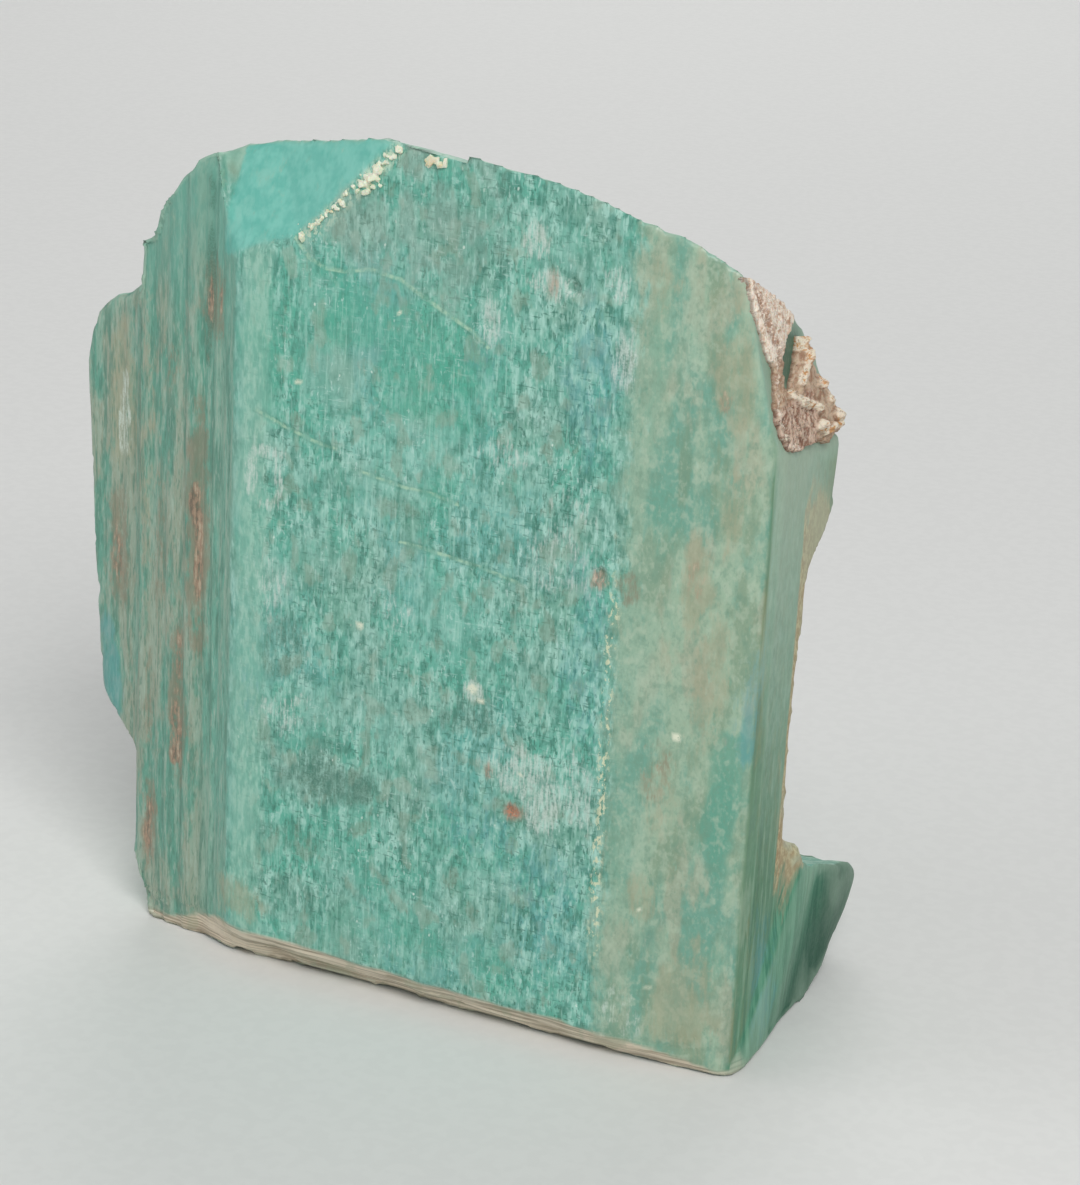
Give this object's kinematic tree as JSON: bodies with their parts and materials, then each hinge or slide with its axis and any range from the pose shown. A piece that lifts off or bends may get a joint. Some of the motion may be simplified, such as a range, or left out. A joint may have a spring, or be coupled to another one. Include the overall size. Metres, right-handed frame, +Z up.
{
  "type": "rough amazonite crystal specimen",
  "caption": "Upright blocky feldspar crystal with a flat front face, striated left side, stepped broken back and top, and pale albite on one shoulder; rests on its flat base.",
  "frame": {"origin": "centre of the bounding box, on the surface the stone rests on", "axes": "+Z up along the crystal's long edges; the large flat crystal face looks toward -Y; the albite shoulder is at +X"},
  "size_m": [0.0688, 0.0378, 0.0765],
  "materials": {
    "amazonite": "waxy satin, blue-green with pale and tan streaks",
    "albite_stained": "rough, cream to pinkish brown",
    "albite_white": "dull granular, cream white"
  },
  "bodies": {
    "root": {"amazonite_crystal": "amazonite", "albite_crust": "albite_stained", "albite_seam": "albite_white", "albite_knot": "albite_white"}
  },
  "joints": []
}
